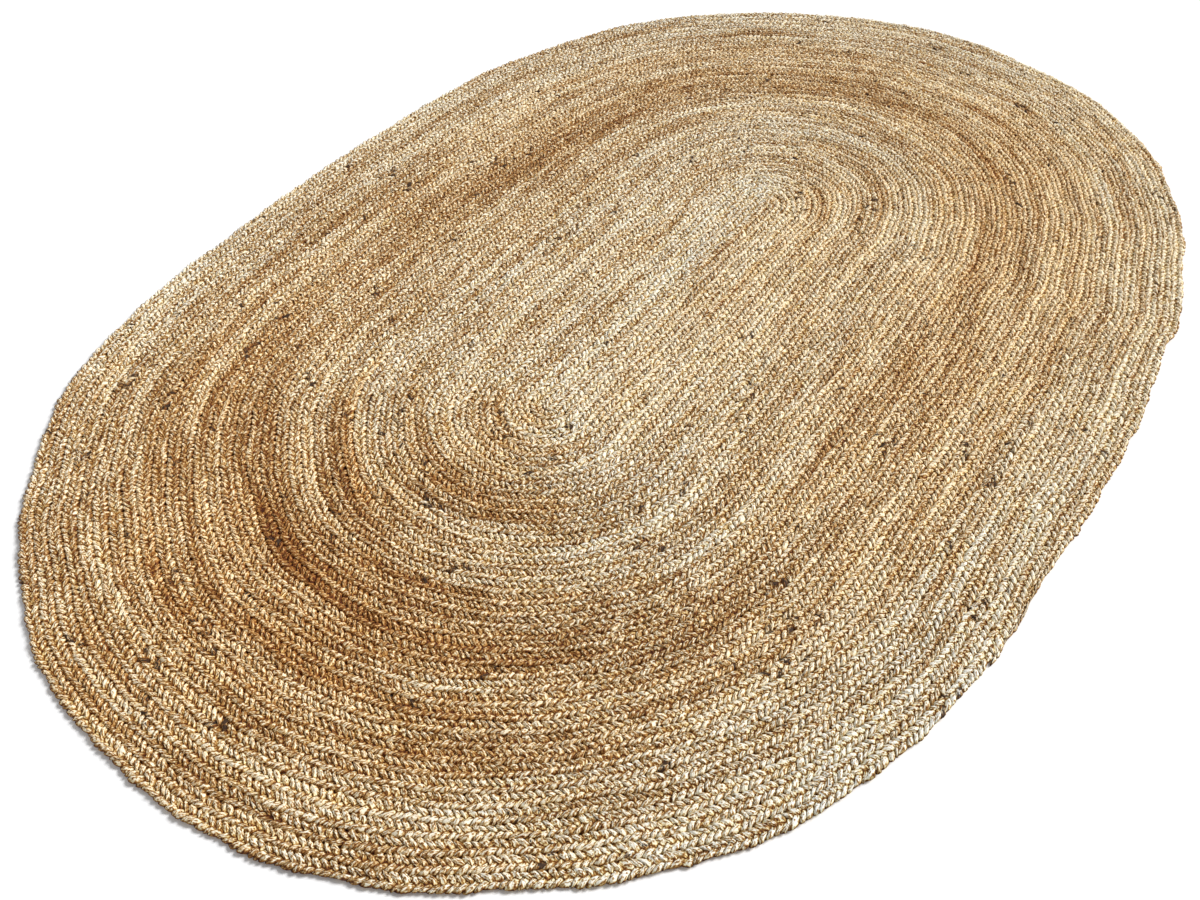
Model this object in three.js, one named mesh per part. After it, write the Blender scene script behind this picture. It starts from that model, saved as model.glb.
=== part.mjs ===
// Oval braided jute rug. One long flat braid is wound clockwise round a straight first run, and each
// row is sewn to the row inside it, so the whole rug is one flat piece with a spiral of raised rows.
// Millimetres, +Z up. The first run lies along X, the flat underside is z = 0, and the origin is
// under the middle of the rug.
import * as THREE from 'three';

// Driving dimensions
const rowPitch = 20.76; // width of the braid, from one row's ridge to the next
const firstRun = 696; // straight run that the ends are wound round
const fullTurns = 39; // whole turns of the braid, before the last part of a turn
const crestHeight = 11; // thickness of the rug on a row's ridge
const grooveHeight = 7.5; // thickness where two rows are sewn together
const shoulderHeight = 9; // where the outermost row turns down
const widestHeight = 4.5; // where the outermost row reaches furthest

// Parts of one row's width, measured outwards from its ridge
const shoulderShare = 0.3;
const widestShare = 0.5;
const footShare = 0.38;

// The first run lies this part of a row's width off the middle line, and its way back three times as
// far on the other side, so the first two rows are one width apart.
const startShare = 0.25;

// Steps of one turn: along a straight side, round an end, and the last step of the outermost row
const sideSteps = 6;
const endSteps = 24;
const lastStep = 37;
const tailSteps = 3; // over which the end of the braid narrows to nothing

// How far the rim stands out from an even oval, or in from it, in millimetres. A turn runs clockwise
// from the left end of the far side: far side, right end, near side, left end.
const rimUnevenness = [
  { turn: 0.0, out: 6 },
  { turn: 0.03, out: 20 },
  { turn: 0.06, out: 26 },
  { turn: 0.09, out: 18 },
  { turn: 0.12, out: 3 },
  { turn: 0.155, out: -8 },
  { turn: 0.19, out: 1 },
  { turn: 0.25, out: -3 },
  { turn: 0.3, out: 9 },
  { turn: 0.33, out: 2 },
  { turn: 0.36, out: 5 },
  { turn: 0.4, out: -1 },
  { turn: 0.435, out: -18 },
  { turn: 0.47, out: -28 },
  { turn: 0.5, out: -13 },
  { turn: 0.54, out: 4 },
  { turn: 0.6, out: 0 },
  { turn: 0.64, out: 6 },
  { turn: 0.68, out: 14 },
  { turn: 0.72, out: 10 },
  { turn: 0.77, out: 15 },
  { turn: 0.83, out: 6 },
  { turn: 0.9, out: 2 },
  { turn: 0.94, out: 8 },
  { turn: 0.975, out: 0 },
  { turn: 1.0, out: 6 },
];

// What follows from them
const turnSteps = 2 * (sideSteps + endSteps);
const steps = fullTurns * turnSteps + lastStep;
const rimDistance = rowPitch * (fullTurns + startShare + widestShare);
const rimLength = 2 * firstRun + 2 * Math.PI * rimDistance;
const sideShare = firstRun / rimLength; // a straight side's part of the outermost turn
const endShare = 0.5 - sideShare;

const jute = new THREE.MeshStandardMaterial({ color: 0xb99e78, roughness: 0.95, metalness: 0 });

// Part of a turn gone by at a step, counted along the rim
function turnPart(column) {
  const half = column < turnSteps / 2 ? 0 : 0.5;
  const inHalf = column % (turnSteps / 2);
  if (inHalf <= sideSteps) return half + (sideShare * inHalf) / sideSteps;
  return half + sideShare + (endShare * (inHalf - sideSteps)) / endSteps;
}

// Place of the middle line and the outward direction there, for a step of a turn
function spine(column) {
  const sign = column < turnSteps / 2 ? 1 : -1;
  const inHalf = column % (turnSteps / 2);
  if (inHalf <= sideSteps) {
    const along = firstRun * (inHalf / sideSteps - 0.5);
    return { x: sign * along, outX: 0, outY: sign };
  }
  const angle = (Math.PI * (inHalf - sideSteps)) / endSteps;
  return { x: (sign * firstRun) / 2, outX: sign * Math.sin(angle), outY: sign * Math.cos(angle) };
}

// Unevenness of the rim at a part of a turn, eased between the table's rows
function rimOut(part) {
  const next = rimUnevenness.findIndex((row) => row.turn > part);
  const from = rimUnevenness[next - 1];
  const to = rimUnevenness[next];
  const ease = (1 - Math.cos((Math.PI * (part - from.turn)) / (to.turn - from.turn))) / 2;
  return from.out + (to.out - from.out) * ease;
}

const points = [];
const faces = [];

// A point at a distance from the middle line. Each row takes its share of the rim's unevenness.
function addPoint(step, distance, height) {
  const column = step % turnSteps;
  const { x, outX, outY } = spine(column);
  const reach = distance * (1 + rimOut(turnPart(column)) / rimDistance);
  points.push([x + outX * reach, outY * reach, height]);
  return points.length - 1;
}

// A triangle, unless two of its corners are one point
function addFace(a, b, c) {
  if (a !== b && b !== c && c !== a) faces.push([a, b, c]);
}

// The surface between an inner and an outer line of points, from one step to the next
function addBand(inner, outer, step, shift = 0) {
  addFace(inner[step], inner[step + 1], outer[step + shift + 1]);
  addFace(inner[step], outer[step + shift + 1], outer[step + shift]);
}

// Flat or nearly flat surface inside a ring of points, seen from above unless it faces down
function addFilling(ring, facesDown) {
  const outline = ring.map((index) => new THREE.Vector2(points[index][0], points[index][1]));
  for (const [a, b, c] of THREE.ShapeUtils.triangulateShape(outline, [])) {
    const area = THREE.ShapeUtils.area([outline[a], outline[b], outline[c]]);
    if (area > 0 === facesDown) addFace(ring[a], ring[c], ring[b]);
    else addFace(ring[a], ring[b], ring[c]);
  }
}

// The braid's lines: its ridge, and the groove along its inner edge. In the tail the row narrows.
const ridge = [];
const groove = [];
const shoulder = [];
const widest = [];
const foot = [];
const rimStart = steps - turnSteps;
for (let step = 0; step < steps; step += 1) {
  const turns = Math.floor(step / turnSteps) + turnPart(step % turnSteps);
  const narrowing = Math.min(1, (steps - step) / tailSteps);
  const width = rowPitch * narrowing;
  const innerEdge = rowPitch * (turns + startShare - 0.5);
  const middle = innerEdge + width / 2;
  const ridgeHeight = shoulderHeight + (crestHeight - shoulderHeight) * narrowing;
  ridge.push(addPoint(step, middle, ridgeHeight));
  groove.push(innerEdge < 0 ? -1 : addPoint(step, innerEdge, grooveHeight));
  if (step >= rimStart) {
    shoulder[step] = addPoint(step, middle + shoulderShare * width, shoulderHeight);
    widest[step] = addPoint(step, middle + widestShare * width, widestHeight);
    foot[step] = addPoint(step, middle + footShare * width, 0);
  }
}

// The tail ends on the outer shoulder of the row inside it
ridge.push(shoulder[rimStart]);
groove.push(shoulder[rimStart]);
shoulder.push(shoulder[rimStart]);
widest.push(widest[rimStart]);
foot.push(foot[rimStart]);

// Both slopes of every row
const firstGroove = groove.findIndex((index) => index >= 0);
for (let step = firstGroove; step < steps; step += 1) addBand(groove, ridge, step);
for (let step = 0; step < rimStart; step += 1) addBand(ridge, groove, step, turnSteps);

// The rounded rim
for (let step = rimStart; step < steps; step += 1) {
  addBand(ridge, shoulder, step);
  addBand(shoulder, widest, step);
  addBand(widest, foot, step);
}

// The slope between the first run and its way back, and the flat underside
addFilling([...ridge.slice(0, firstGroove + 1), ...groove.slice(firstGroove, turnSteps + 1)], false);
addFilling(foot.slice(rimStart, steps), true);

const geometry = new THREE.BufferGeometry();
geometry.setAttribute('position', new THREE.Float32BufferAttribute(points.flat(), 3));
geometry.setIndex(faces.flat());
geometry.computeBoundingBox();
const middleOfBox = geometry.boundingBox.getCenter(new THREE.Vector3());
geometry.translate(-middleOfBox.x, -middleOfBox.y, 0);
geometry.computeVertexNormals();

const rug = new THREE.Mesh(geometry, jute);
rug.name = 'braided_rug';

const object = new THREE.Group();
object.add(rug);

export default object;
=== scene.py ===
import math
import bpy
import numpy as np
from mathutils import Matrix, Vector


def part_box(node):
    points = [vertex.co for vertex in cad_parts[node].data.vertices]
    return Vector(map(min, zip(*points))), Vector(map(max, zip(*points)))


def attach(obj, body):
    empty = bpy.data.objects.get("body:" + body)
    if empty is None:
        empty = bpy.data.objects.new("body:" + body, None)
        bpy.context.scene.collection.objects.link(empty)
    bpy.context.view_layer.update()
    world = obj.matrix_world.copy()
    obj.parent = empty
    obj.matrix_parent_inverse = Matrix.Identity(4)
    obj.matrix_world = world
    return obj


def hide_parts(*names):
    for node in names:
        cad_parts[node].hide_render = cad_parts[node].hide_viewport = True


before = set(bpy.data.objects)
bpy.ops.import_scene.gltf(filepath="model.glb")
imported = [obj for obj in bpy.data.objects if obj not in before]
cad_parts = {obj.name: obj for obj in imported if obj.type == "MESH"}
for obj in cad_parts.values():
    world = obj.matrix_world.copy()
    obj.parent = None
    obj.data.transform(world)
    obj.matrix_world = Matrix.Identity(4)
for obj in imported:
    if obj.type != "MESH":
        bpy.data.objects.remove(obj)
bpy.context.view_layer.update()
rugBox = [np.array(corner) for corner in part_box("braided_rug")]
scene = bpy.context.scene
scene.view_settings.view_transform = "Standard"
scene.view_settings.look = "None"


# Camera: at the height of a standing person, near the left end of the near side
camera = {
    "place": (-1.4436, -1.0157, 1.3825),
    "azimuth": 32.857,  # degrees from +X, anticlockwise from above
    "downTilt": 45.07,
    "roll": 1.097,
    "lens": 36.29,
    "shift": (-0.0891, -0.0061),
}


# Looks along its azimuth and down its tilt, then turns about that line by its roll
def makeCamera(cam):
    azimuth, tilt, roll = (math.radians(cam[name]) for name in ("azimuth", "downTilt", "roll"))
    out, drop = math.cos(tilt), math.sin(tilt)
    ahead = Vector((out * math.cos(azimuth), out * math.sin(azimuth), -drop))
    level = Vector((math.sin(azimuth), -math.cos(azimuth), 0))
    under = ahead.cross(level)
    right = math.cos(roll) * level + math.sin(roll) * under
    down = math.cos(roll) * under - math.sin(roll) * level
    data = bpy.data.cameras.new("camera")
    data.lens = cam["lens"]
    data.sensor_width = 36
    data.shift_x, data.shift_y = cam["shift"]
    data.clip_start, data.clip_end = 0.05, 100
    item = bpy.data.objects.new("camera", data)
    turn = Matrix((right, -down, -ahead)).transposed().to_4x4()
    item.matrix_world = Matrix.Translation(cam["place"]) @ turn
    scene.collection.objects.link(item)
    scene.camera = item


makeCamera(camera)
print("camera made")


# Braid and rug, in metres. A turn is counted clockwise from the left end of the far straight side.
braid = {
    "rowWidth": 0.02076,  # from one row's middle to the next
    "firstRun": 0.696,  # straight run that the ends are wound round
    "turns": 39.622,  # from the start of the braid to its end
    "wholeTurns": 39,
    "startShare": 0.25,  # the first run's middle lies this part of a row off the middle line
    "tailTurn": 0.05,  # part of a turn over which the end narrows
    "tailShare": 0.12,  # its width at the very end, in rows
    "tailHeight": 0.72,  # how low it would lie if it narrowed to nothing, as a share of its height
    "seamShare": 0.2,  # the first seam's right end lies this part of a row off the middle line
    "bendRadius": 0.0009,  # of the first bend's inner edge, at its middle
    "tuck": 0.0115,  # how far the start reaches into the first bend
    "tuckNarrowing": 0.95,  # and the part of its width that it loses there
    "lead": 0.02,  # length of braid before the straight run, in the first bend
    "lobe": 0.011,  # length of one lobe along the braid
    "slant": 0.85,  # how far a lobe leans over the braid's half width, in lobes
    "slantCurve": 1.2,  # power of that lean
    "strands": 3,
    "lengths": 6,  # pieces that the braid is made in
    "seed": 7,
}

# How far the rim stands out from an even oval, or in from it, in metres
rimUnevenness = [
    {"turn": 0.0, "out": 0.006},
    {"turn": 0.03, "out": 0.020},
    {"turn": 0.06, "out": 0.026},
    {"turn": 0.09, "out": 0.018},
    {"turn": 0.12, "out": 0.003},
    {"turn": 0.155, "out": -0.008},
    {"turn": 0.19, "out": 0.001},
    {"turn": 0.25, "out": -0.003},
    {"turn": 0.3, "out": 0.009},
    {"turn": 0.33, "out": 0.002},
    {"turn": 0.36, "out": 0.005},
    {"turn": 0.4, "out": -0.001},
    {"turn": 0.435, "out": -0.018},
    {"turn": 0.47, "out": -0.028},
    {"turn": 0.5, "out": -0.013},
    {"turn": 0.54, "out": 0.004},
    {"turn": 0.6, "out": 0.0},
    {"turn": 0.64, "out": 0.006},
    {"turn": 0.68, "out": 0.014},
    {"turn": 0.72, "out": 0.010},
    {"turn": 0.77, "out": 0.015},
    {"turn": 0.83, "out": 0.006},
    {"turn": 0.9, "out": 0.002},
    {"turn": 0.94, "out": 0.008},
    {"turn": 0.975, "out": 0.0},
    {"turn": 1.0, "out": 0.006},
]

rowWidth = braid["rowWidth"]
firstRun = braid["firstRun"]
rimDistance = rowWidth * (braid["wholeTurns"] + braid["startShare"] + 0.5)
sideShare = firstRun / (2 * firstRun + 2 * math.pi * rimDistance)  # a straight side's part of a turn
endShare = 0.5 - sideShare


# A column of a table, as an array
def column(table, name):
    return np.array([row[name] for row in table], float)


# Unevenness of the rim at a part of a turn: half a cosine wave between the table's rows
def rimOut(turn):
    part = turn % 1
    turns, outs = column(rimUnevenness, "turn"), column(rimUnevenness, "out")
    row = np.clip(np.searchsorted(turns, part, side="right"), 1, len(turns) - 1)
    share = (part - turns[row - 1]) / (turns[row] - turns[row - 1])
    return outs[row - 1] + (outs[row] - outs[row - 1]) * (1 - np.cos(np.pi * share)) / 2


# Place in plan at a turn and a distance from the middle line: along a straight side, or round an end
# of the first run, each row taking its share of the rim's unevenness
def place(turn, distance):
    half = turn % 0.5
    sign = np.where(turn % 1 < 0.5, 1.0, -1.0)
    straight = half < sideShare
    angle = np.where(straight, 0.0, np.pi * (half - sideShare) / endShare)
    x = np.where(straight, sign * firstRun * (half / sideShare - 0.5), sign * firstRun / 2)
    reach = distance * (1 + rimOut(turn) / rimDistance)
    return np.stack([x + sign * np.sin(angle) * reach, sign * np.cos(angle) * reach], -1)


# Width of the braid at a turn, in rows: 1, and falling evenly over the tail
def tailWidth(turn):
    return np.clip((braid["turns"] - turn) / braid["tailTurn"], braid["tailShare"], 1)


# The braid's inner and outer edge at a turn. The first run and its way back share a seam, and the bend
# between them turns about the seam's right end.
def edges(turn):
    innerDistance = rowWidth * (turn - braid["startShare"])
    inner = place(turn, innerDistance)
    outer = place(turn, innerDistance + rowWidth * tailWidth(turn))
    seamRight = -rowWidth * braid["seamShare"]
    seamLeft = -rowWidth * (sideShare + 0.5 - braid["startShare"])
    seamY = np.interp(inner[..., 0], [-firstRun / 2, firstRun / 2], [seamLeft, seamRight])
    seam = np.stack([inner[..., 0], seamY], -1)
    angle = np.pi * np.clip((turn - sideShare) / endShare, 0, 1)
    radius = braid["bendRadius"] * np.sin(angle)
    bend = np.stack([firstRun / 2 + radius * np.sin(angle), seamRight + radius * np.cos(angle)], -1)
    first = (turn < 0.5 + sideShare)[..., None]
    bending = ((turn > sideShare) & (turn < 0.5))[..., None]
    return np.where(bending, bend, np.where(first, seam, inner)), outer


# Length of the braid's middle line up to each of many turns
denseSteps = 400000
denseTurn = np.linspace(0, braid["turns"], denseSteps + 1)
denseMiddle = place(denseTurn, rowWidth * (denseTurn + braid["startShare"]))
denseLength = np.concatenate([[0], np.cumsum(np.linalg.norm(np.diff(denseMiddle, axis=0), axis=1))])
braidLength = denseLength[-1]
lobes = int(braidLength / braid["lobe"])
rim = edges(denseTurn[denseTurn > braid["turns"] - 1])[1]
planShift = (rugBox[0][:2] + rugBox[1][:2]) / 2 - (rim.min(0) + rim.max(0)) / 2
print("braid of", round(braidLength, 2), "m with", lobes, "lobes a side; moved by", planShift)


# Slow, even noise: a sum of sine waves of random phase and of the given lengths, over one or two axes
def waves(rng, lengths, axes=1):
    count = len(lengths)
    angle = rng.uniform(0, 2 * np.pi, count)
    phase = rng.uniform(0, 2 * np.pi, count)
    turns = 2 * np.pi / np.array(lengths)
    scale = math.sqrt(2 / count)
    if axes == 1:
        return lambda s: sum(np.sin(k * s + p) for k, p in zip(turns, phase)) * scale
    return lambda x, y: sum(
        np.sin(k * (math.cos(a) * x + math.sin(a) * y) + p) for k, a, p in zip(turns, angle, phase)
    ) * scale


rng = np.random.default_rng(braid["seed"])
edgeWander = waves(rng, [0.043, 0.067, 0.09, 0.131, 0.21, 0.37])
rowHeight = waves(rng, [0.05, 0.083, 0.14, 0.23, 0.41])
middleWander = waves(rng, [0.037, 0.061, 0.11, 0.19])
planWaveX = waves(rng, [0.13, 0.17, 0.22, 0.29, 0.37, 0.45], 2)
planWaveY = waves(rng, [0.12, 0.16, 0.24, 0.31, 0.36, 0.47], 2)

relief = {  # across half of the braid, from its middle to its edge
    "across": (0.28, 0.64, 1.0),
    "crest": (0.0094, 0.0107, 0.0062),  # height of a lobe's crest at each of these
    "crease": (0.0062, 0.0064, 0.0043),  # and of the creases between lobes
    "pinch": (1.3, 1.1, 1.3),  # how much a lobe narrows towards its ends, as a power of its form
    "middleHigh": 0.0062,  # height of the middle line under a lobe's nose
    "middleLow": 0.0046,  # and between two noses
    "shadeTop": 0.0100,  # painted shade darkens the creases from this height down to the next
    "shadeFoot": 0.0060,
    "interlock": 0.15,  # how far a lobe's nose reaches over the middle, in half widths
    "bulge": 0.1,  # and how far its other end reaches past the edge, or stays back at a crease
    "underside": 0.0003,  # mean height of the underside's edges off the floor
    "undersideUneven": 0.5,  # and its unevenness, as a share
    "undersidePace": 1.7,  # how much faster that changes than the height of the rows
    "foot": 0.6,  # where the sides meet the underside, in half widths
    "overlap": 0.0008,  # how far a row's edge runs into its neighbour's
    "edgeWander": 0.0011,
    "middleWander": 0.09,  # in half widths
    "stationWander": 0.13,  # of the points along the braid, in steps
    "lobeHeight": 0.0005,
    "lobeReach": 0.13,  # sideways unevenness of the lobes, in half widths
    "reachShares": (1, 0.7, 0.1),  # how much of it the three points across take
    "mostUneven": 1.9,  # limit of the lobes' unevenness, in standard deviations
    "lobeSkew": 0.3,  # unevenness of their lean, in lobes over the half width
    "rowHeight": 0.0003,
    "roughness": 0.0002,  # of single points
    "mostRough": 1.8,
    "planWander": 0.0016,  # of whole rows, in plan
}
lobeForm = np.array([0.0, 0.76, 1.0, 0.72])  # a lobe's height from crease to crease: steep, then gentle
crowding = np.array([0.0, -0.05, 0.0, 0.05])  # shift of these stations towards the creases, in lobes
stepsPerLobe = len(lobeForm)
stations = lobes * stepsPerLobe + 1
across = np.array(relief["across"])
columns = np.concatenate([-across[::-1], [0], across])
sides = {"inner": [2, 1, 0], "outer": [4, 5, 6]}  # columns of each side, from the middle outwards
middle = 3

stationJitter = rng.normal(0, relief["stationWander"], stations + 2)
stationJitter = (stationJitter[:-2] + 2 * stationJitter[1:-1] + stationJitter[2:]) / 4
noise = rng.normal(0, 1, (stations, len(columns)))
limit = relief["mostUneven"]
lobeHeight, lobeReach, lobeSkew, lobeTone, lobeGold = (
    {side: np.clip(rng.normal(0, 1, lobes + 2), -limit, limit) for side in sides} for _ in range(5)
)


# Plan place of points at a length along the braid and a share q across it, from -1 at the inner edge
# to 1 at the outer one: the middle, plus q half widths, plus the wander of edges and rows. Before its
# start the braid narrows into the first bend.
def braidPlan(length, q):
    turn = np.interp(length, denseLength, denseTurn)
    inner, outer = edges(turn)
    tuck = np.sin(np.clip(-length / braid["lead"], 0, 1) * np.pi / 2)
    centre = (inner + outer) / 2
    half = (outer - inner) / 2 * np.sqrt(1 - (braid["tuckNarrowing"] * tuck) ** 2)[..., None]
    centre[..., 0] -= braid["tuck"] * tuck
    span = np.maximum(np.linalg.norm(outer - inner, axis=-1, keepdims=True), 1e-6)
    direction = (outer - inner) / span
    before = np.interp(turn - 1, denseTurn, denseLength)  # the row inside shares its outer edge's wander
    wander = np.where(q > 0, edgeWander(length), edgeWander(before)) * relief["edgeWander"] * (turn > 1)
    aside = (wander + np.sign(q) * relief["overlap"]) * np.abs(q) ** 3
    plan = centre + half * q[..., None] + direction * aside[..., None]
    x, y = plan[..., 0], plan[..., 1]
    wave = np.stack([planWaveX(x, y), planWaveY(x, y)], -1) * relief["planWander"]
    return plan + wave + planShift, turn


# Tone of clean jute by its distance from the middle line, in rows: lightness, and how golden it is
ringTone = [
    {"row": 0, "light": 0.45, "gold": 0.90},
    {"row": 1.5, "light": 0.53, "gold": 0.90},
    {"row": 3, "light": 0.51, "gold": 0.90},
    {"row": 5, "light": 0.455, "gold": 0.94},
    {"row": 9, "light": 0.45, "gold": 0.94},
    {"row": 10.5, "light": 0.385, "gold": 0.93},
    {"row": 12.5, "light": 0.4, "gold": 0.92},
    {"row": 14, "light": 0.44, "gold": 0.90},
    {"row": 15.3, "light": 0.39, "gold": 0.93},
    {"row": 17, "light": 0.345, "gold": 0.97},
    {"row": 19, "light": 0.43, "gold": 0.98},
    {"row": 20.3, "light": 0.33, "gold": 1.02},
    {"row": 22, "light": 0.26, "gold": 1.06},
    {"row": 25, "light": 0.29, "gold": 1.07},
    {"row": 26.3, "light": 0.31, "gold": 1.06},
    {"row": 27.4, "light": 0.365, "gold": 1.05},
    {"row": 29, "light": 0.385, "gold": 1.04},
    {"row": 31, "light": 0.37, "gold": 1.04},
    {"row": 33, "light": 0.375, "gold": 0.94},
    {"row": 34, "light": 0.435, "gold": 0.92},
    {"row": 35.5, "light": 0.41, "gold": 0.90},
    {"row": 37, "light": 0.44, "gold": 0.90},
    {"row": 40, "light": 0.48, "gold": 0.86},
]

# The same by the part of a turn: lightness of the inner and of the outer rows, and how golden both are
sideTone = [
    {"part": 0, "inner": 1, "outer": 0.86, "gold": 0.95},
    {"part": 0.1, "inner": 1.08, "outer": 0.85, "gold": 0.96},
    {"part": 0.22, "inner": 1.15, "outer": 0.86, "gold": 0.93},
    {"part": 0.32, "inner": 1.02, "outer": 0.99, "gold": 1.01},
    {"part": 0.4, "inner": 0.97, "outer": 1.1, "gold": 1.16},
    {"part": 0.47, "inner": 1.08, "outer": 1.26, "gold": 1.14},
    {"part": 0.56, "inner": 1.1, "outer": 1.26, "gold": 1.05},
    {"part": 0.64, "inner": 1.08, "outer": 1.16, "gold": 0.89},
    {"part": 0.7, "inner": 0.95, "outer": 1, "gold": 0.90},
    {"part": 0.78, "inner": 0.82, "outer": 0.76, "gold": 1.06},
    {"part": 0.84, "inner": 0.77, "outer": 0.71, "gold": 1.15},
    {"part": 0.9, "inner": 0.83, "outer": 0.75, "gold": 1.06},
    {"part": 0.96, "inner": 0.92, "outer": 0.86, "gold": 1.00},
    {"part": 1, "inner": 1, "outer": 0.86, "gold": 0.95},
]

# Stretches of the braid plaited from paler or darker jute, by turns
streaks = [
    {"from": 1.15, "to": 1.33, "light": 1.22, "gold": 1.0},
    {"from": 2.1, "to": 2.33, "light": 1.2, "gold": 0.98},
    {"from": 3.86, "to": 4.0, "light": 0.78, "gold": 1.1},
    {"from": 4.64, "to": 4.73, "light": 0.75, "gold": 1.1},
    {"from": 4.9, "to": 5.0, "light": 0.8, "gold": 1.05},
    {"from": 5.35, "to": 5.5, "light": 0.84, "gold": 1.05},
    {"from": 8.6, "to": 9.1, "light": 1.26, "gold": 0.98},
    {"from": 10.7, "to": 10.85, "light": 0.76, "gold": 1.1},
    {"from": 11.71, "to": 11.78, "light": 0.76, "gold": 1.1},
    {"from": 14.6, "to": 15.08, "light": 1.22, "gold": 0.98},
    {"from": 15.18, "to": 15.5, "light": 1.34, "gold": 0.94},
    {"from": 15.84, "to": 15.99, "light": 0.9, "gold": 1.25},
    {"from": 18.67, "to": 18.83, "light": 0.72, "gold": 1.1},
    {"from": 19.2, "to": 19.55, "light": 1.16, "gold": 0.96},
    {"from": 20.6, "to": 21.09, "light": 1.14, "gold": 0.97},
    {"from": 22.73, "to": 22.9, "light": 0.76, "gold": 1.1},
    {"from": 25.73, "to": 25.92, "light": 1.3, "gold": 0.94},
    {"from": 27.73, "to": 27.83, "light": 0.78, "gold": 1.1},
    {"from": 30.98, "to": 31.08, "light": 1.15, "gold": 0.96},
    {"from": 31.13, "to": 31.19, "light": 0.72, "gold": 1.1},
    {"from": 32.6, "to": 32.77, "light": 1.14, "gold": 0.97},
    {"from": 33.38, "to": 33.5, "light": 1.3, "gold": 0.98},
    {"from": 34.2, "to": 34.3, "light": 0.72, "gold": 1.0},
    {"from": 34.5, "to": 34.64, "light": 1.18, "gold": 0.98},
    {"from": 35.5, "to": 35.58, "light": 0.76, "gold": 1.0},
    {"from": 36.06, "to": 36.15, "light": 0.7, "gold": 1.0},
    {"from": 37.4, "to": 37.6, "light": 1.16, "gold": 0.96},
]

tone = {
    "gain": 1.065,
    "innerRow": 4,  # up to this row the tone by part of a turn is that of the inner rows
    "outerRow": 26,  # and from this one that of the outer rows
    "streakEase": 0.012,  # part of a turn over which a streak sets in
    "braidUneven": 0.09,  # slow change of the whole braid's tone, as a share
    "strandUneven": 0.07,  # of each strand
    "sideUneven": 0.23,  # of the inner and of the outer half by itself
    "lobeUneven": 0.07,
    "goldUneven": 0.04,  # slow change of how golden the braid is
    "lobeGold": 0.02,  # and of single lobes
    "fleckRuns": 380,  # runs of lobes with bark left in them
    "fleckRun": 3,  # lobes in the longest run
    "fleckLeast": 0.35,  # strength of the faintest run, of 1
    "fleckFade": 0.5,  # least part of its run's strength that a lobe has
}
braidTone = waves(rng, [0.55, 0.8, 1.2, 1.9, 2.9, 5.3])
braidGold = waves(rng, [0.31, 0.7, 1.7, 4.1])
strandTone = [waves(rng, [0.09, 0.16, 0.29, 0.52, 1.1, 2.3]) for _ in range(braid["strands"])]
halfTone = {side: waves(rng, [0.26, 0.4, 0.6, 0.9, 1.4, 2.2]) for side in sides}


# Bark in each lobe, the lobes of both sides counted together: a run keeps to one strand
def barkFlecks(look):
    bark = np.zeros(2 * lobes + 4 + braid["strands"] * look["fleckRun"])
    starts = rng.integers(0, 2 * lobes, look["fleckRuns"])
    runs = rng.integers(1, look["fleckRun"] + 1, look["fleckRuns"])
    strength = rng.uniform(look["fleckLeast"], 1, look["fleckRuns"])
    for step in range(look["fleckRun"]):
        reached = runs > step
        cells = starts[reached] + braid["strands"] * step
        fresh = strength[reached] * rng.uniform(look["fleckFade"], 1, reached.sum())
        bark[cells] = np.maximum(bark[cells], fresh)
    return bark


bark = barkFlecks(tone)


# A column of a table at places along another column, with straight lines between the table's rows
def toneAt(table, axis, places, name):
    return np.interp(places, column(table, axis), column(table, name))


# Lightness and gold at a turn, a length and a share q across: the ring's, the side's and the streaks'
# tones multiplied, and the braid's own slow noise
def juteTone(turn, length, q):
    row = turn + braid["startShare"] + q / 2
    part = turn % 1
    inner, outer = (toneAt(sideTone, "part", part, name) for name in ("inner", "outer"))
    outwards = np.clip((row - tone["innerRow"]) / (tone["outerRow"] - tone["innerRow"]), 0, 1)
    light = toneAt(ringTone, "row", row, "light") * (inner + (outer - inner) * outwards)
    gold = toneAt(ringTone, "row", row, "gold") * toneAt(sideTone, "part", part, "gold")
    for streak in streaks:
        inside = np.minimum(turn - streak["from"], streak["to"] - turn)
        window = np.clip(inside / tone["streakEase"], 0, 1)
        light = light * (1 + (streak["light"] - 1) * window)
        gold = gold * (1 + (streak["gold"] - 1) * window)
    light = light * np.exp(tone["braidUneven"] * braidTone(length)) * tone["gain"]
    return light, gold * np.exp(tone["goldUneven"] * braidGold(length))


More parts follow.
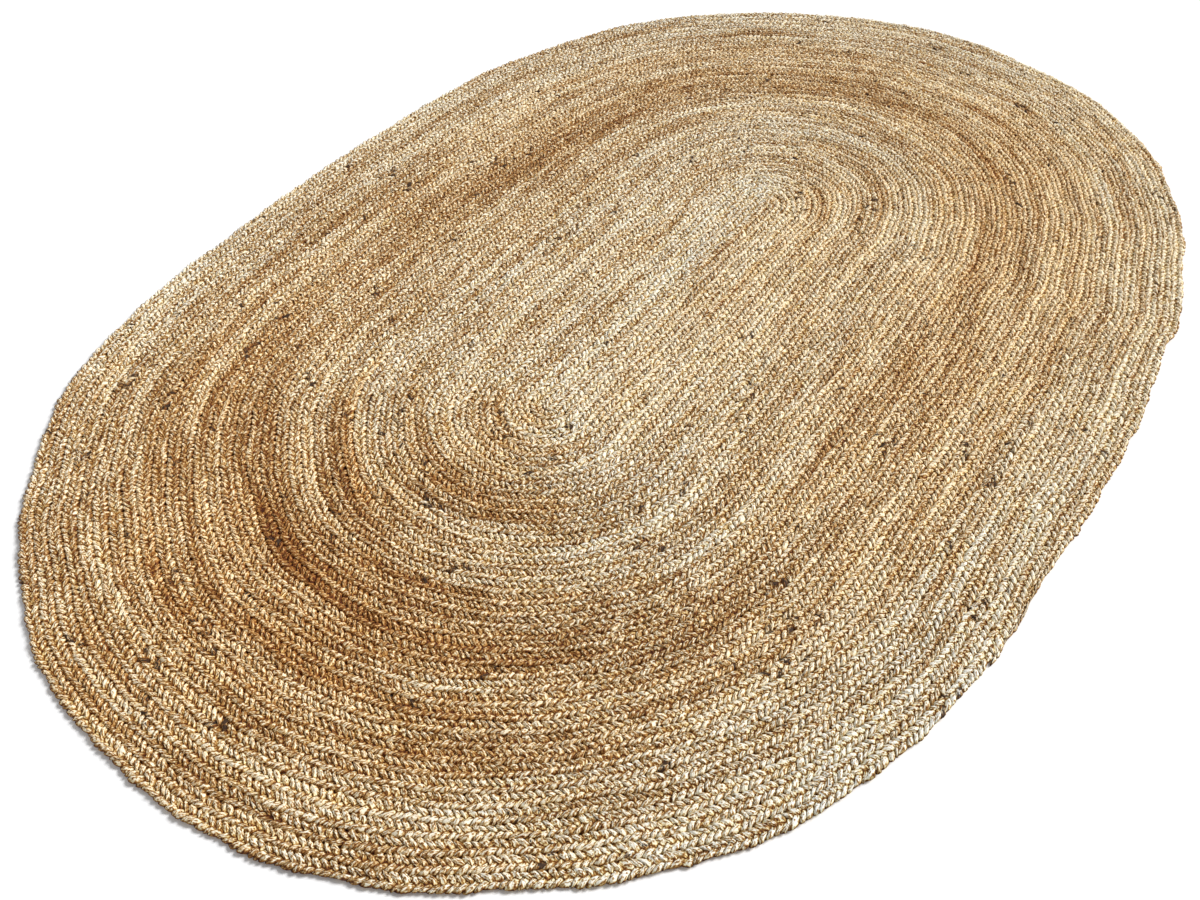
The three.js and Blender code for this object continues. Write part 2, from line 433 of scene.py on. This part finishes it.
# One length of the braid. Its top is a grid of stations along the braid by seven points across; each
# station is a chevron whose arms run back along the lobes' creases. Height is that of a crease plus a
# share of the way to the crest, by the lobe's form.
def bandShape(firstLobe, lastLobe):
    station = np.arange(firstLobe * stepsPerLobe, lastLobe * stepsPerLobe + 1)
    phase = station / stepsPerLobe
    later = {"outer": 0, "inner": stepsPerLobe // 2}  # the inner lobes come half a lobe sooner
    form = {side: lobeForm[(station + later[side]) % stepsPerLobe] for side in sides}
    number = {side: (station + later[side]) // stepsPerLobe for side in sides}
    lean = braid["slant"] * np.abs(columns) ** braid["slantCurve"]
    steps = phase[:, None] + stationJitter[station][:, None] + lean
    for side, cells in sides.items():
        skew = np.interp(phase, np.arange(lobes + 2), lobeSkew[side])
        steps[:, cells] += relief["lobeSkew"] * skew[:, None] * across
        steps[:, cells] += crowding[(station + later[side]) % stepsPerLobe][:, None]
    length = braid["lobe"] * steps - braid["lead"]
    q = np.broadcast_to(columns, length.shape).copy()
    nose = form["inner"] - form["outer"]
    q[:, middle] = relief["interlock"] * nose + relief["middleWander"] * middleWander(length[:, middle])
    for side, cells in sides.items():
        reach = relief["lobeReach"] * lobeReach[side][number[side]] * form[side]
        q[:, cells] += reach[:, None] * np.array(relief["reachShares"])
        q[:, cells[-1]] += np.sign(columns[cells[-1]]) * relief["bulge"] * (2 * form[side] - 1)
    plan, turn = braidPlan(length, q)

    height = np.empty(length.shape)
    light, gold = juteTone(turn, length, q)
    flecks = np.zeros(length.shape)
    strandLight = np.stack([wave(length[:, middle]) for wave in strandTone])
    for side, cells in sides.items():
        up = form[side][:, None] ** np.array(relief["pinch"])
        lobe = number[side]
        together = 2 * lobe + (1 if side == "outer" else 0)
        low = np.array(relief["crease"])
        high = np.array(relief["crest"]) + relief["lobeHeight"] * lobeHeight[side][lobe][:, None]
        height[:, cells] = low + (high - low) * up
        own = strandLight[together % braid["strands"], np.arange(len(station))]
        uneven = tone["strandUneven"] * own + tone["lobeUneven"] * lobeTone[side][lobe]
        uneven = uneven + tone["sideUneven"] * halfTone[side](length[:, middle])
        light[:, cells] *= np.exp(uneven)[:, None]
        gold[:, cells] *= np.exp(tone["lobeGold"] * lobeGold[side][lobe])[:, None]
        flecks[:, cells] = bark[together][:, None]
    height[:, middle] = relief["middleLow"] + (relief["middleHigh"] - relief["middleLow"]) * np.abs(nose)
    upper = np.where(nose > 0, 2, 4)  # the column beside the middle whose lobe lies on top there
    for values in (light, gold, flecks):
        values[:, middle] = values[np.arange(len(station)), upper]
    height += relief["rowHeight"] * rowHeight(length)
    height += relief["roughness"] * np.clip(noise[station], -relief["mostRough"], relief["mostRough"])
    # Painted shade in the creases: full at and below the shade's foot, none at and above its top
    crease = np.clip((relief["shadeTop"] - height) / (relief["shadeTop"] - relief["shadeFoot"]), 0, 1)
    height *= braid["tailHeight"] + (1 - braid["tailHeight"]) * tailWidth(turn)
    top = np.concatenate([plan, height[..., None]], -1)

    coarse = slice(None, None, stepsPerLobe)
    footQ = np.array([-relief["foot"], relief["foot"]])
    footLength = length[coarse][:, [0, -1]]
    footPlan, _ = braidPlan(footLength, np.broadcast_to(footQ, footLength.shape))
    swell = relief["undersideUneven"] * rowHeight(footLength * relief["undersidePace"])
    low = relief["underside"] * (1 + swell)
    foot = np.concatenate([footPlan, np.maximum(low, 0)[..., None]], -1)
    tones = {"light": light, "gold": gold, "crease": crease, "bark": flecks}
    return {"top": top, "foot": foot, "phase": phase, "tones": tones}


# Faces of one length, by kind: quads on the top, triangles down both sides from each lobe's edge to
# its foot, one quad a lobe underneath, and a fan over each end
def bandFaces(rows):
    width = len(columns)
    count = (rows - 1) // stepsPerLobe
    grid = np.arange(rows * width).reshape(rows, width)
    feet = rows * width + np.arange((count + 1) * 2).reshape(-1, 2)
    top = np.stack([grid[:-1, :-1], grid[:-1, 1:], grid[1:, 1:], grid[1:, :-1]], -1).reshape(-1, 4)
    under = np.stack([feet[:-1, 0], feet[1:, 0], feet[1:, 1], feet[:-1, 1]], -1)
    flanks = []
    half = stepsPerLobe // 2
    for edge, foot, turned in ((grid[:, 0], feet[:, 0], False), (grid[:, -1], feet[:, 1], True)):
        fans = []
        for step in range(stepsPerLobe):
            near = foot[:-1] if step < half else foot[1:]
            fans.append([edge[step:-1:stepsPerLobe], edge[step + 1::stepsPerLobe], near])
        fans.append([edge[half::stepsPerLobe], foot[1:], foot[:-1]])
        flank = np.concatenate([np.stack(fan, -1) for fan in fans])
        flanks.append(flank[:, ::-1] if turned else flank)
    ends = []
    for row, foot, turned in ((grid[0], feet[0], True), (grid[-1], feet[-1], False)):
        ring = np.array([foot[0], *row, foot[1]])
        fan = np.stack([np.full(len(ring) - 2, ring[0]), ring[1:-1], ring[2:]], -1)
        ends.append(fan[:, ::-1] if turned else fan)
    inner, outer = flanks
    return {"top": top, "under": under, "inner": inner, "outer": outer, "ends": np.concatenate(ends)}


# Map for baked textures: the length is folded into the rows of a square, and each row holds the top,
# both sides and the underside beside each other. A corner's place is its station, in the row of its
# face's first lobe, and the level of its point; the two ends lie in the last row's spare part.
bakeFold = {
    "rows": 24,
    "margin": 0.004,
    "top": (0.02, 0.74),  # levels of the inner and the outer edge, as parts of a row's height
    "outer": (0.76, 0.82),  # of the edge and the foot
    "under": (0.93, 0.84),  # of the inner and the outer foot
    "inner": (0.99, 0.945),
    "spareLobes": 4,  # room kept free in the last row
    "endRadius": 0.008,
    "endPlaces": (4.5, 1.5),  # of the two ends, back from the row's end, in radii
}


def bakeMap(faces, rows, fold):
    width = len(columns)
    count = (rows - 1) // stepsPerLobe
    perRow = math.ceil((count + fold["spareLobes"]) / fold["rows"]) * stepsPerLobe
    onGrid = rows * width
    total = onGrid + 2 * (count + 1)
    point = np.arange(total)
    station = np.where(point < onGrid, point // width, (point - onGrid) // 2 * stepsPerLobe)
    outwards = np.where(point < onGrid, point % width / (width - 1), (point - onGrid) % 2)
    isFoot = point >= onGrid
    corners = []
    for kind in ("top", "under", "inner", "outer"):
        face = faces[kind]
        row = (station[face].min(1) // perRow)[:, None]
        share = outwards[face] if kind in ("top", "under") else isFoot[face]
        level = fold[kind][0] + (fold[kind][1] - fold[kind][0]) * share
        u = (station[face] - row * perRow) / perRow * (1 - 2 * fold["margin"]) + fold["margin"]
        v = (row + level) / fold["rows"]
        corners.append(np.stack([u, v], -1).reshape(-1, 2))
    fan = np.arange(width)[:, None] * [0, 1, 1] + [0, 1, 2]
    angle = np.pi * np.stack([fan[:, ::-1], fan]) / (width + 1)
    radius = fold["endRadius"]
    u = 1 - radius * np.array(fold["endPlaces"])[:, None, None] + radius * np.cos(angle)
    v = 1 - 0.5 / fold["rows"] + radius * np.sin(angle)
    corners.append(np.stack([u, v], -1).reshape(-1, 2))
    return np.concatenate(corners)


# Puts a length's points and faces into a mesh, smooth but for the ends, with its maps and attributes
def makeMesh(name, points, faces, attributes, pointMap, cornerMap):
    mesh = bpy.data.meshes.new(name)
    loops = np.concatenate([face.ravel() for face in faces.values()])
    sizes = np.concatenate([np.full(len(face), face.shape[1]) for face in faces.values()])
    mesh.vertices.add(len(points))
    mesh.vertices.foreach_set("co", points.astype(np.float32).ravel())
    mesh.loops.add(len(loops))
    mesh.loops.foreach_set("vertex_index", loops.astype(np.int32))
    mesh.polygons.add(len(sizes))
    mesh.polygons.foreach_set("loop_start", (np.cumsum(sizes) - sizes).astype(np.int32))
    smooth = np.ones(len(sizes), bool)
    smooth[-len(faces["ends"]):] = False
    mesh.polygons.foreach_set("use_smooth", smooth)
    mesh.update(calc_edges=True)
    for key, values in attributes.items():
        layer = mesh.attributes.new(key, "FLOAT", "POINT")
        layer.data.foreach_set("value", values.astype(np.float32))
    for key, corners in (("braid", pointMap[loops]), ("OFBake", cornerMap)):
        layer = mesh.uv_layers.new(name=key)
        layer.data.foreach_set("uv", corners.astype(np.float32).ravel())
    return mesh


# A socket of a material's nodes. Sums, differences, products and powers add Math nodes.
class Wire:
    def __init__(self, tree, socket=None):
        self.tree = tree
        self.socket = socket

    # Adds a node, with its settings first and then the values or wires of its sockets
    def node(self, kind, settings, sockets, output=0):
        item = self.tree.nodes.new("ShaderNode" + kind)
        for name, value in settings.items():
            setattr(item, name, value)
        for name, value in sockets.items():
            if isinstance(value, Wire):
                self.tree.links.new(value.socket, item.inputs[name])
            else:
                item.inputs[name].default_value = value
        return Wire(self.tree, item.outputs[output])

    def math(self, operation, first, second):
        return self.node("Math", {"operation": operation}, {0: first, 1: second})

    def __add__(self, other):
        return self.math("ADD", self, other)

    def __radd__(self, other):
        return self.math("ADD", other, self)

    def __sub__(self, other):
        return self.math("SUBTRACT", self, other)

    def __rsub__(self, other):
        return self.math("SUBTRACT", other, self)

    def __mul__(self, other):
        return self.math("MULTIPLY", self, other)

    def __rmul__(self, other):
        return self.math("MULTIPLY", other, self)

    def __pow__(self, other):
        return self.math("POWER", self, other)


fibre = {
    "fine": (5.0, 4.4),  # fibres a lobe, and how often their tone changes over half the braid's width
    "coarse": (2.4, 2.0),  # bundles of them
    "slow": (0.3, 1.5),  # short streaks along a row
    "fineStrength": 4.1,  # powers that these three tones are raised to
    "coarseStrength": 0.5,
    "slowStrength": 0.6,
    "edgeShadeSpan": (0.45, 1.15),  # where the painted shade at a lobe's edge begins and is full, from 0 at the lobe's middle
    "lineWander": (0.42, 0.15),  # of the lines between lobes, and of those between rows and halves
    # how dark the painted shade line round each lobe is
    "edgeShadeDark": 0.83,
    "topWearAndHighlight": 1.38,  # how much lighter the lobes' tops are: painted highlight, partly bleached wear
    "creaseShade": 0.6,  # and how much darker painted shade makes the jute down in the creases
    "creaseShadePower": 1.3,
    "creaseShadeWarmth": (0.0, 0.08, 0.5),  # shares of red, green and blue that the painted shade in the creases loses besides, to look warmer
    "least": 0.01,  # limits of the lightness
    "most": 0.8,
    "bark": (0.04, 0.02, 0.01, 1),
    "barkShare": 0.3,  # how much a lobe's bark adds to the noise that it shows by
    "barkFrom": 0.66,  # bark begins to show at this sum
    "barkFull": 0.75,  # and covers the jute from this one
    "leastBark": 0.05,  # lobes with less have none
    "bumpDepth": 0.0016,
    "roughness": 0.55,
    "coarseRoughness": 0.35,
    "gloss": 0.25,
    "red": (1.04, 0.68, 0.29),  # factor, power of the lightness and power of the gold
    "green": (1.01, 1.08, -0.08),
    "blue": (0.90, 1.77, -0.71),
}

# Map of the fibres: u counts lobes along the braid, and v runs from -1 to 1 across its top and on to the
# feet. Each length has levels of its own, so that no two look alike.
levelStep = 10
footLevel = 1.6


# Jute: lightness from the mesh times that of fibres and streaks, with painted shade in the creases and
# in a line round each lobe and a painted highlight, partly wear, on the lobes' tops, turned into straw,
# gold or brown by three power curves, since darker jute is warmer, which warms the painted shade too.
# Bark covers part of a flecked lobe.
def makeFibre(look):
    material = bpy.data.materials.new("jute fibre")
    material.use_nodes = True
    start = Wire(material.node_tree)
    braidMap = start.node("UVMap", {"uv_map": "braid"}, {})
    light, gold, crease, bark = (
        start.node("Attribute", {"attribute_name": name}, {}, "Fac")
        for name in ("light", "gold", "crease", "bark")
    )

    def fibres(size, detail):
        stretched = start.node("VectorMath", {"operation": "MULTIPLY"}, {0: braidMap, 1: (*size, 1)})
        sockets = {"Vector": stretched, "Scale": 1.0, "Detail": detail}
        return start.node("TexNoise", {"noise_dimensions": "2D"}, sockets)

    def blend(value, first, last):
        sockets = {"Value": value, "From Min": first, "From Max": last}
        return start.node("MapRange", {"interpolation_type": "SMOOTHSTEP"}, sockets)

    fine = fibres(look["fine"], 2.0)
    coarse = fibres(look["coarse"], 1.0)
    slow = fibres(look["slow"], 1.0)

    # Ways out from a lobe's middle, 0 to 1 along the braid and across it
    count, level = (start.node("SeparateXYZ", {}, {0: braidMap}, axis) for axis in (0, 1))
    level = start.node("Math", {"operation": "WRAP"}, {0: level, 1: levelStep / 2, 2: -levelStep / 2})
    level = level + look["lineWander"][1] * (coarse - 0.5)
    inner = start.math("LESS_THAN", level, 0.0)
    count = count + 0.5 * inner + look["lineWander"][0] * (0.5 - fine)
    lobe = start.node("Math", {"operation": "FRACT"}, {0: count})
    away = start.node("Math", {"operation": "ABSOLUTE"}, {0: level})
    along, aside = (1 - 2 * start.math("PINGPONG", share, 0.5) for share in (lobe, away))
    # Painted shade: a dark line round each lobe, where the lobes and the rows and halves meet
    line = blend(along * along + aside * aside * aside * aside, *look["edgeShadeSpan"])

    fleece = (fine * 2) ** look["fineStrength"] * (coarse * 2) ** look["coarseStrength"]
    fleece = fleece * (slow * 2) ** look["slowStrength"]
    # Painted highlight on the lobes' tops, partly wear, and painted shade down in the creases
    depth = look["topWearAndHighlight"] - 1 + look["creaseShade"]
    shade = look["topWearAndHighlight"] - depth * crease ** look["creaseShadePower"]
    shade = shade * (1 - look["edgeShadeDark"] * line)
    limits = {"Min": look["least"], "Max": look["most"]}
    tint = start.node("Clamp", {}, {"Value": light * fleece * shade, **limits})
    channels = {}
    # The painted shade in the creases loses some green and more blue, to be warmer
    for name, loss in zip(("red", "green", "blue"), look["creaseShadeWarmth"]):
        factor, lightPower, goldPower = look[name]
        channel = factor * tint ** lightPower * gold ** goldPower
        channels[name.capitalize()] = channel * (1 - loss * crease * crease)
    jute = start.node("CombineColor", {}, channels)

    flecks = coarse * 0.5 + fine * 0.5 + bark * look["barkShare"]
    cover = blend(flecks, look["barkFrom"], look["barkFull"])
    cover = cover * start.math("GREATER_THAN", bark, look["leastBark"])
    colour = start.node("Mix", {"data_type": "RGBA"}, {0: cover, 6: jute, 7: look["bark"]}, 2)
    bump = start.node("Bump", {}, {"Height": fine + coarse, "Distance": look["bumpDepth"]})
    roughness = look["roughness"] + look["coarseRoughness"] * coarse
    shader = material.node_tree.nodes["Principled BSDF"]
    for name, wire in (("Base Color", colour), ("Normal", bump), ("Roughness", roughness)):
        material.node_tree.links.new(wire.socket, shader.inputs[name])
    shader.inputs["Specular IOR Level"].default_value = look["gloss"]
    return material


jute = makeFibre(fibre)
print("fibre material made")
cuts = np.linspace(0, lobes, braid["lengths"] + 1).astype(int)


# Place in the fibres' map of a length's points, the top's first and then the feet's: lobes from the
# length's start, and the level across
def fibreMap(phase, band):
    count = phase - cuts[band]
    grid = np.stack(np.broadcast_arrays(count[:, None], columns + levelStep * band), -1)
    levels = np.array([-footLevel, footLevel]) + levelStep * band
    feet = np.stack(np.broadcast_arrays(count[::stepsPerLobe, None], levels), -1)
    return np.concatenate([grid.reshape(-1, 2), feet.reshape(-1, 2)])


# One mesh length of the braid, lying on the floor; it hangs on the root body, and the rug's part from
# the model is hidden
def makeLength(band):
    name = "braid_length_%d" % (band + 1)
    shape = bandShape(cuts[band], cuts[band + 1])
    rows = len(shape["phase"])
    faces = bandFaces(rows)
    points = np.concatenate([shape["top"].reshape(-1, 3), shape["foot"].reshape(-1, 3)])
    attributes = {}
    for key, values in shape["tones"].items():
        atFoot = values[::stepsPerLobe][:, [0, -1]].ravel()
        attributes[key] = np.concatenate([values.ravel(), atFoot])
    pointMap = fibreMap(shape["phase"], band)
    mesh = makeMesh(name, points, faces, attributes, pointMap, bakeMap(faces, rows, bakeFold))
    mesh.materials.append(jute)
    piece = bpy.data.objects.new(name, mesh)
    scene.collection.objects.link(piece)
    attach(piece, "root")
    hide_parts("braided_rug")


for band in range(braid["lengths"]):
    makeLength(band)


# Floor and light
studio = {
    "floor": 30.0,
    "floorColour": (0.86, 0.86, 0.86),
    "floorRoughness": 0.9,
    "sky": (0.99, 0.99, 1.0),
    "skyStrength": 0.5,
    "lights": [  # where each comes from, in degrees from +X and above the floor, its size and power
        {"name": "key", "azimuth": 320, "height": 40, "size": 25, "power": 3.95},
    ],
}


# A square floor, a sky of one colour and a sun lamp for each row of the table
def makeStudio(look):
    mesh = bpy.data.meshes.new("floor")
    half = look["floor"] / 2
    corners = [(-half, -half, 0), (half, -half, 0), (half, half, 0), (-half, half, 0)]
    mesh.from_pydata(corners, [], [(0, 1, 2, 3)])
    floor = bpy.data.objects.new("floor", mesh)
    scene.collection.objects.link(floor)
    material = bpy.data.materials.new("pale floor")
    material.use_nodes = True
    shader = material.node_tree.nodes["Principled BSDF"]
    shader.inputs["Base Color"].default_value = (*look["floorColour"], 1)
    shader.inputs["Roughness"].default_value = look["floorRoughness"]
    mesh.materials.append(material)
    world = bpy.data.worlds.new("studio")
    world.use_nodes = True
    background = world.node_tree.nodes["Background"]
    background.inputs["Color"].default_value = (*look["sky"], 1)
    background.inputs["Strength"].default_value = look["skyStrength"]
    scene.world = world
    for lamp in look["lights"]:
        light = bpy.data.lights.new(lamp["name"], "SUN")
        light.angle = math.radians(lamp["size"])
        light.energy = lamp["power"]
        item = bpy.data.objects.new(lamp["name"], light)
        item.rotation_euler = (math.radians(90 - lamp["height"]), 0, math.radians(lamp["azimuth"] + 90))
        scene.collection.objects.link(item)


makeStudio(studio)
print("floor and light made")
